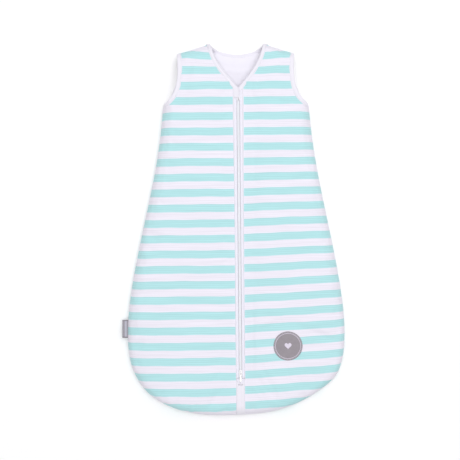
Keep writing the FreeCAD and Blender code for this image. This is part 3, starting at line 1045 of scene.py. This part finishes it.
def make_v_bindings():
    profile = band_profile(NECK_BINDING, BINDING_THICK)
    spare = 4                   # rings at the point of the V without stitches
    for side, sign in SIGN.items():
        line = neck_run(V_EDGE, 0.0)[::-1]
        line = np.vstack([[(line[0, 0], roof(line[0, 0]))], line]) * [sign, 1]
        path, inward, normal = dress([(line, 1)], (sign, 0, 0))
        band = sweep(side + "_neck_band", path, inward, normal, profile, BINDING,
                     wave=BAND_WAVE, mitre=sign * 0.0003)
        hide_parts(side + "_neck_binding")
        row = stitches(side + "_neck_stitching", path[:-spare], inward[:-spare],
                       normal[:-spare], NECK_BINDING - STITCH_INSET, STITCH_RISE)
        for piece in (band, row):
            fold_blend(piece)


# ---- the middle of the front -------------------------------------------------
def straight(x, z, low, high):
    """A path up the front at one x, with level normals."""
    y = np.linspace(low, high, int((high - low) / 0.004) + 1)
    path = np.stack([np.full(len(y), x), y, np.full(len(y), z)], 1)
    return path, everywhere((0, 0, 1), len(y))


def make_front_strips():
    low, high = (c.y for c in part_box("left_front_binding"))
    width = BAND_HALF - WINDOW_HALF + OVERLAP
    front_profile = band_profile(width, thick=0.0036, proud=0.0005)
    facing_profile = band_profile(width, thick=0.0019, proud=-0.0031)
    for side, sign in SIGN.items():
        path, normal = straight(sign * WINDOW_HALF, TOP, low, high + 0.004)
        path[:, 2] -= 0.0012 * smooth((path[:, 1] - high + 0.003) / 0.004)
        narrowing = 1 - taper(path[:, 1]) / (BAND_HALF - WINDOW_HALF)
        inward = np.outer(narrowing, [sign, 0.0, 0.0])
        strip = sweep(side + "_front_strip", path, inward, normal, front_profile, BINDING,
                      wave=BAND_WAVE)
        row = stitches(side + "_front_stitching", path, inward, normal,
                       offset=width * 0.55, height=0.00062)
        facing = sweep(side + "_facing", path, inward, normal, facing_profile, LINING_KNIT)
        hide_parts(side + "_front_binding")
        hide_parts(side + "_zip_facing")
        for piece in (strip, row, facing):
            fold_blend(piece)


def window_arc(first, last, count):
    """Points on the window's rounded lower end between two angles."""
    return [(WINDOW_HALF * math.cos(a), WINDOW_ARC + WINDOW_HALF * math.sin(a))
            for a in np.linspace(first, last, count)]


def make_lower_bands():
    """White bands from the rounded end of the zip window over the hem."""
    over = WINDOW_ARC + 0.0035
    thick = 0.0055
    outer_edge = BAND_HALF + OVERLAP
    arc = window_arc(-math.pi / 2, 0, 14)
    hem = RIGHT_SIDE[RIGHT_SIDE[:, 0] < outer_edge][::-1]
    corner = (outer_edge, over)
    inner_corner = (WINDOW_HALF, over)
    loop = join_runs([hem, np.array([hem[-1], corner]),
                      np.array([corner, inner_corner, arc[-1]]),
                      np.array(arc[::-1]), np.array([arc[0], hem[0]])], FINE_STEP)
    window_edge = np.vstack([arc, [inner_corner]])
    for side, sign in SIGN.items():
        outline = loop * [sign, 1]
        plan, tris = fill(outline if sign > 0 else outline[::-1], FINE_STEP)
        outer, normal = surface(plan, 1)
        across = np.abs(plan[:, 0]) / outer_edge
        crown = 0.0007 * (1 - (2 * across - 1) ** 8) - 0.0002
        crown += 0.0002 * np.exp(-(distance(plan, window_edge * [sign, 1]) / 0.0015) ** 2)
        crown -= 0.0004 * smooth((plan[:, 1] - WINDOW_ARC + 0.002) / 0.002)
        outer += normal * crown[:, None]
        inner = outer - normal * thick
        inner[:, 2] = np.maximum(inner[:, 2], MID + FACE_GAP / 2)
        band = slab(side + "_band", outer, inner, tris, BINDING, flat_coords(plan))
        attach(band, "bag", "white_binding", side + "_lower_band")
        path, level = straight(sign * (BAND_HALF - 0.0014), TOP, -0.352, WINDOW_ARC - 0.004)
        path[:, 0] -= sign * taper(path[:, 1])
        inward = everywhere((sign, 0, 0), len(path))
        row = stitches(side + "_band_stitching", path, inward, level, offset=0.0, height=0.0006)
        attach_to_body(row, "bag")


def make_tapes():
    for side, sign in SIGN.items():
        low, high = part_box(side + "_zip_tape")
        x0, x1 = sorted((abs(low.x), abs(high.x)))
        path, normal = straight(sign * x0, ZIP_Z, COIL_LOW, high.y)
        path[:, 2] += 0.0001 * np.sin(path[:, 1] / 0.011)
        inward = everywhere((sign, 0, 0), len(path))
        u = np.linspace(0, x1 - x0, 9)
        sag = -0.0005 * np.sin(u / (x1 - x0) * math.pi)
        upper = np.stack([u, sag + TAPE_HALF], 1)
        lower = np.stack([u, sag - TAPE_HALF], 1)
        tape = sweep(side + "_tape", path, inward, normal, np.vstack([upper, lower[::-1]]), TAPE)
        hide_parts(side + "_zip_tape")
        row = stitches(side + "_tape_stitching", path, inward, normal, offset=0.0008,
                       height=0.0004, length=0.0018, gap=0.0009)
        for piece in (tape, row):
            fold_blend(piece)


def make_coils():
    """A wound nylon coil on each half, with a cord inside; their turns pass between each other."""
    pitch, wire = 0.00150, 0.00031
    half_wide, half_high = 0.00140, 0.00095
    middle = half_wide - 0.00022            # from the zip's middle to a coil's own
    turns = int((COIL_HIGH - COIL_LOW) / pitch)
    per_turn = 12
    filament = oval(wire, wire, 6)
    cord = oval((half_wide - wire) * 0.96, (half_high - wire) * 0.9, 10)
    for side, sign in SIGN.items():
        a = np.linspace(0, 2 * math.pi * turns, turns * per_turn + 1)
        start = COIL_LOW + (pitch / 2 if sign > 0 else 0.0)
        path = np.stack([sign * (middle + half_wide * np.cos(a)),
                         start + a / (2 * math.pi) * pitch,
                         ZIP_Z + half_high * np.sin(a)], 1)
        away = np.stack([sign * np.cos(a), np.zeros(len(a)), np.sin(a)], 1)
        coil = sweep(side + "_coil", path, everywhere((0, 1, 0), len(a)), away, filament, COIL)
        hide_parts(side + "_zip_coil")
        # the cords take the pale coil nylon instead of thread: painted light for the gaps between
        # the turns
        path, normal = straight(sign * middle, ZIP_Z, COIL_LOW, COIL_HIGH)
        core = sweep(side + "_coil_cord", path, everywhere((sign, 0, 0), len(path)), normal,
                     cord, COIL)
        for piece in (coil, core):
            attach(piece, side + "_flap", "zip_coil")


def make_slider():
    """Cast slider: shaped plates, side flanges and a nose."""
    low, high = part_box("slider_body")
    wide, tail = high.x, high.x * 0.84
    thick = 0.0010                          # of each plate
    plan = round_corners([(-wide, low.y + 0.0035), (-wide * 0.62, low.y), (wide * 0.62, low.y),
                          (wide, low.y + 0.0035), (tail, high.y), (-tail, high.y)], 0.0014)
    parts = [rounded("slider_top_plate", plan, high.z - thick, high.z, 0.0004, ENAMEL),
             rounded("slider_lower_plate", plan, low.z, low.z + thick, 0.0003, ENAMEL)]
    for sign in (-1, 1):
        front, rear = low.y + 0.0036, high.y - 0.0006
        wall = [(sign * (wide - 0.0004), front), (sign * wide, front),
                (sign * tail, rear), (sign * (tail - 0.0004), rear)]
        for where, z0, z1 in (("flange", ZIP_Z + 0.0007, high.z - thick / 2),
                              ("sole", low.z + thick / 2, ZIP_Z - 0.0007)):
            parts.append(rounded(f"{where}_{sign}", wall, z0, z1, 0.0001, ENAMEL))
    nose = box_plan(-0.0004, low.y + 0.0003, 0.0004, low.y + 0.003)
    parts.append(rounded("nose", nose, low.z + thick / 2, high.z - thick / 2, 0.0001, ENAMEL))
    attach(joined("slider_shell", parts), "slider", "slider_enamel", "slider_body")


def make_slider_cap():
    """The arched cap that the pull tab hangs on."""
    low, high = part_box("slider_cap")
    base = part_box("slider_body")[1].z - 0.0002
    a = np.linspace(math.pi, 0, 13)
    half_long = (high.y - low.y - 0.0014) / 2
    path = np.stack([np.zeros(len(a)), (low.y + high.y) / 2 + half_long * np.cos(a),
                     base + (high.z - base - 0.0006) * np.sin(a) ** 0.6], 1)
    across = everywhere((1, 0, 0), len(path))
    normal = np.cross(across, tangents(path))
    cap = sweep("slider_arch", path, across, normal, oval(high.x * 0.85, 0.00055, 12), ENAMEL)
    attach(cap, "slider", "slider_enamel", "slider_cap")


def make_pull():
    """A flat tab with a window for the cap, a thinner middle and a raised grip."""
    low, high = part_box("pull_tab")
    wide, end, root = high.x, low.y, JOINTS["pull_swing"]["pos_m"][1]
    right = [(wide * 0.9, end), (wide, end + 0.0030), (wide * 0.80, root - 0.0075),
             (wide, root - 0.0052), (wide, root + 0.0001)]
    left = [(-x, y) for x, y in right[::-1]]
    window = round_corners(box_plan(-0.0018, root - 0.0047, 0.0018, root - 0.0005), 0.0006)
    tab = rounded("pull_plate", round_corners(left + right, 0.0012), low.z, high.z, 0.00025,
                  PULL_ENAMEL, window)
    attach(tab, "pull", "pull_enamel", "pull_tab")
    grip = round_corners([(-wide * 0.55, end + 0.0022), (wide * 0.55, end + 0.0022),
                          (wide * 0.5, root - 0.0090), (-wide * 0.5, root - 0.0090)], 0.0009)
    inlay = rounded("pull_inlay", grip, high.z - 0.0002, high.z + 0.00018, 0.00015, PULL_ENAMEL)
    attach(inlay, "pull", "pull_enamel")


def make_zip_ends():
    for node, body, name in (("retainer_box", "left_flap", "retainer"),
                             ("insertion_pin", "right_flap", "pin"),
                             ("zip_bottom_stop", "bag", "bottom_stop")):
        low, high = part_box(node)
        plan = round_corners(box_plan(low.x, low.y, high.x, high.y), 0.0006)
        piece = rounded(name, plan, low.z, high.z, 0.0004, PLASTIC)
        attach(piece, body, "zip_ends", node)


def make_tape_tops():
    """The ends of the tapes beyond the pin and the box, under the chin guard."""
    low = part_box("insertion_pin")[1].y - 0.0005
    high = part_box("chin_guard")[1].y - 0.0015
    for side, sign in SIGN.items():
        plan = [(sign * x, y) for x, y in box_plan(0.0004, low, 0.0031, high)]
        end_tape = rounded(side + "_tape_top", plan, ZIP_Z - TAPE_HALF, ZIP_Z + TAPE_HALF,
                           0.0001, TAPE)
        attach(end_tape, side + "_flap", "zip_tape")


def make_zip_end_cloth():
    """The backing patch that closes the window below the zip."""
    step = 0.0012
    under = WINDOW_ARC + 0.005
    arc = window_arc(-math.pi, 0, 18)
    right, left = (WINDOW_HALF, under), (-WINDOW_HALF, under)
    loop = join_runs([np.array(arc), np.array([arc[-1], right]), np.array([right, left]),
                      np.array([left, arc[0]])], step)
    plan, tris = fill(loop, step)
    level = ZIP_Z - TAPE_HALF - 0.0013 * smooth((plan[:, 1] - WINDOW_ARC + 0.0012) / 0.0018)
    top = np.column_stack([plan, level])
    patch = slab("zip_end_cloth", top, top - [0, 0, 2 * TAPE_HALF], tris, TAPE, flat_coords(plan))
    attach(patch, "bag", "zip_tape", "zip_end_patch")


def make_bar_tack():
    """A dense zigzag of thread across the lower end of the zip."""
    low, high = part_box("zip_bar_tack")
    passes, sides, radius = 14, 6, 0.0002
    y = np.linspace(low.y, high.y, passes + 1)
    x = np.where(np.arange(passes + 1) % 2, high.x, low.x)
    corners = np.stack([x, y, np.full(passes + 1, TOP + 0.0006)], 1)
    up = np.array([0, 0, 1])
    verts, faces = [], []
    for a, b in zip(corners, corners[1:]):
        t = (b - a) / np.linalg.norm(b - a)
        across = np.array([-t[1], t[0], 0])
        faces += tube_faces(len(verts), 3, sides)
        for p in (a, (a + b) / 2 + [0, 0, 0.0001], b):
            verts += [p + radius * (math.cos(r) * across + math.sin(r) * up) for r in turn(sides)]
    attach(make("bar_tack_thread", verts, faces, THREAD), "bag", "thread", "zip_bar_tack")


def make_chin_guard():
    low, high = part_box("chin_guard")
    right = high.x + 0.0016
    under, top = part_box("retainer_box")[1].z + 0.00005, high.z - 0.0002
    plan = round_corners([(right, low.y), (low.x + 0.0014, low.y), (low.x, high.y - 0.0015),
                          (right, high.y + 0.0010)], 0.0016)
    guard = rounded("chin_guard_cloth", plan, under, top, 0.0003, GUARD_KNIT)
    attach(guard, "left_flap", "white_binding", "chin_guard")
    seam = [(low.x + 0.0016, high.y - 0.002, top), (low.x + 0.0026, low.y + 0.0014, top),
            (right - 0.0008, low.y + 0.0014, top)]
    path = resample(seam, 0.002)
    normal = everywhere((0, 0, 1), len(path))
    across = np.cross(tangents(path), normal)
    row = stitches("chin_guard_stitching", path, across, normal, offset=0.0, height=0.0)
    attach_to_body(row, "left_flap")


# ---- badge and label ---------------------------------------------------------
def heart_plan(centre, size):
    t = turn(64)
    x = size * np.sin(t) ** 3
    y = size * (13 * np.cos(t) - 5 * np.cos(2 * t) - 2 * np.cos(3 * t) - np.cos(4 * t)) / 16
    return np.stack([centre[0] + x, centre[1] + y + 0.0006], 1)


def make_badge():
    """A round leather badge with a raised ring, a heart and a row of stitches at its edge."""
    low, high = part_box("badge_disc")
    ring_low, ring_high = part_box("badge_ring")
    heart_low, heart_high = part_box("badge_motif")
    centre = lean(BADGE[None])[0]
    radius = (high.x - low.x) / 2
    sunk, face, bottom = high.z - 0.0002, high.z - 0.0001, low.z + 0.0001
    section = [(0, face), (radius * 0.80, face), (radius * 0.93, high.z), (radius * 0.975, sunk),
               (radius, high.z - 0.0007), (radius * 0.99, bottom), (0, bottom)]
    disc = lathe("badge_patch", centre, section, LEATHER)
    attach(disc, "bag", "badge_leather", "badge_disc")
    outer = (ring_high.x - ring_low.x) / 2
    inner, top = outer - 0.0011, high.z + 0.0003
    section = [(inner, sunk), (inner + 0.0002, top), (outer - 0.0002, top), (outer, sunk)]
    ring = lathe("badge_line", centre, section, RELIEF, hollow=True)
    attach(ring, "bag", "badge_relief", "badge_ring")
    plan = heart_plan(centre, (heart_high.x - heart_low.x) / 2)
    heart = rounded("badge_heart", plan, sunk, top + 0.0001, 0.0002, RELIEF)
    attach(heart, "bag", "badge_relief", "badge_motif")
    a = np.linspace(0, 2 * math.pi, 240)
    seam = radius * 0.945
    path = np.stack([centre[0] + seam * np.cos(a), centre[1] + seam * np.sin(a),
                     np.full(len(a), high.z)], 1)
    normal = everywhere((0, 0, 1), len(path))
    across = np.cross(tangents(path), normal)
    row = stitches("badge_stitching", path, across, normal, offset=0.0, height=0.0001,
                   length=0.0020, gap=0.0012)
    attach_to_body(row, "bag")


def label_section():
    """The label's outer skin from its upper end in the seam, round the fold and back."""
    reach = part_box("side_label")[0].x
    half = 0.0006                           # half the height of the folded loop
    fold_x, fold_z = reach + half, MID + 0.0019
    x = np.linspace(-0.2150, fold_x, 8)
    rise = np.linspace(0, 1, len(x)) ** 2
    upper = list(zip(x, MID + 0.0007 + 0.0012 * rise))
    fold = [(fold_x - half * math.sin(t), fold_z - half * (1 - math.cos(t)))
            for t in np.linspace(0, math.pi, 9)[1:]]
    lower = [(x, z - 2 * half) for x, z in upper[::-1][1:]]
    return np.array(upper + fold + lower)


def make_side_label():
    """A folded loop that stands out of the left seam and curls a little."""
    y0, y1 = -0.215, -0.179
    line = label_section()
    t = tangents(line)
    normal = np.stack([-t[:, 1], t[:, 0]], 1)
    thick = 0.00025
    other_skin = line - normal * thick * np.sign(normal[0, 1])
    rows = np.linspace(y0, y1, 19)
    m = len(line)
    run = lengths(line)
    verts, coords, faces = [], [], []
    for y in rows:
        share = (y - y0) / (y1 - y0)
        curl = 0.0006 * math.sin(share * math.pi)
        for skin in (line, other_skin):
            for (x, z), along in zip(skin, run):
                verts.append((x, y, z + curl * min(1, along / 0.006)))
                coords.append((along, y, 2 * share - 1))
    for i in range(len(rows) - 1):
        a = i * 2 * m
        b = a + 2 * m
        for k in range(m - 1):
            faces += [(a + k, a + k + 1, b + k + 1, b + k),
                      (a + m + k, b + m + k, b + m + k + 1, a + m + k + 1)]
        faces += [(a, b, b + m, a + m), (a + m - 1, a + 2 * m - 1, b + 2 * m - 1, b + m - 1)]
    for base in (0, (len(rows) - 1) * 2 * m):
        faces += [(base + k, base + m + k, base + m + k + 1, base + k + 1) for k in range(m - 1)]
    verts = np.array(verts)
    verts[:, :2] = lean(verts[:, :2])
    label = make("side_label_loop", verts, faces, LABEL, coords)
    attach(label, "bag", "woven_label", "side_label")


# ---- room, light and camera --------------------------------------------------
def make_room():
    n = Nodes("floor", 0.9)
    n.colour(n.mix(n.noise(3, 2), (0.93, 0.93, 0.935, 1), (0.95, 0.95, 0.955, 1)))
    half = 6.0
    corners = [(x, y, 0) for x, y in box_plan(-half, -half, half, half)]
    make("floor", corners, [(0, 1, 2, 3)], n.material)
    world = bpy.data.worlds.new("studio")
    world.use_nodes = True
    background = world.node_tree.nodes["Background"]
    background.inputs[0].default_value = (1.0, 0.995, 1.0, 1)
    background.inputs[1].default_value = 0.40
    bpy.context.scene.world = world
    overhead = bpy.data.lights.new("overhead", "SUN")
    overhead.energy = 1.80
    overhead.angle = math.radians(38)
    corner = bpy.data.lights.new("corner", "AREA")
    corner.energy = 8.0
    corner.size = 1.4
    for light, place, tilt in ((overhead, (0, 0, 2), (-3, 2)),
                               (corner, (0.25, 0.85, 2.0), (-23, 7))):
        lamp = bpy.data.objects.new(light.name, light)
        lamp.location = place
        lamp.rotation_euler = (math.radians(tilt[0]), math.radians(tilt[1]), 0)
        bpy.context.scene.collection.objects.link(lamp)


def make_camera():
    """Straight down, the whole bag in view, as one looks at it on a table."""
    data = bpy.data.cameras.new("camera")
    data.lens = 100
    data.sensor_width = 36
    view_width = 0.920
    above_bag = view_width * data.lens / data.sensor_width
    camera = bpy.data.objects.new("camera", data)
    camera.location = (-0.0185, -0.0012, MID + above_bag)
    camera.rotation_euler = (0, 0, math.radians(-0.5))
    bpy.context.scene.collection.objects.link(camera)
    bpy.context.scene.camera = camera
    bpy.context.scene.view_settings.view_transform = "Standard"


def main():
    make_camera()
    make_room()
    make_panels()
    make_arm_bindings()
    make_back_neck_binding()
    make_v_bindings()
    make_front_strips()
    make_lower_bands()
    make_tapes()
    make_coils()
    make_slider()
    make_slider_cap()
    make_pull()
    make_zip_ends()
    make_tape_tops()
    make_zip_end_cloth()
    make_bar_tack()
    make_chin_guard()
    make_badge()
    make_side_label()


main()
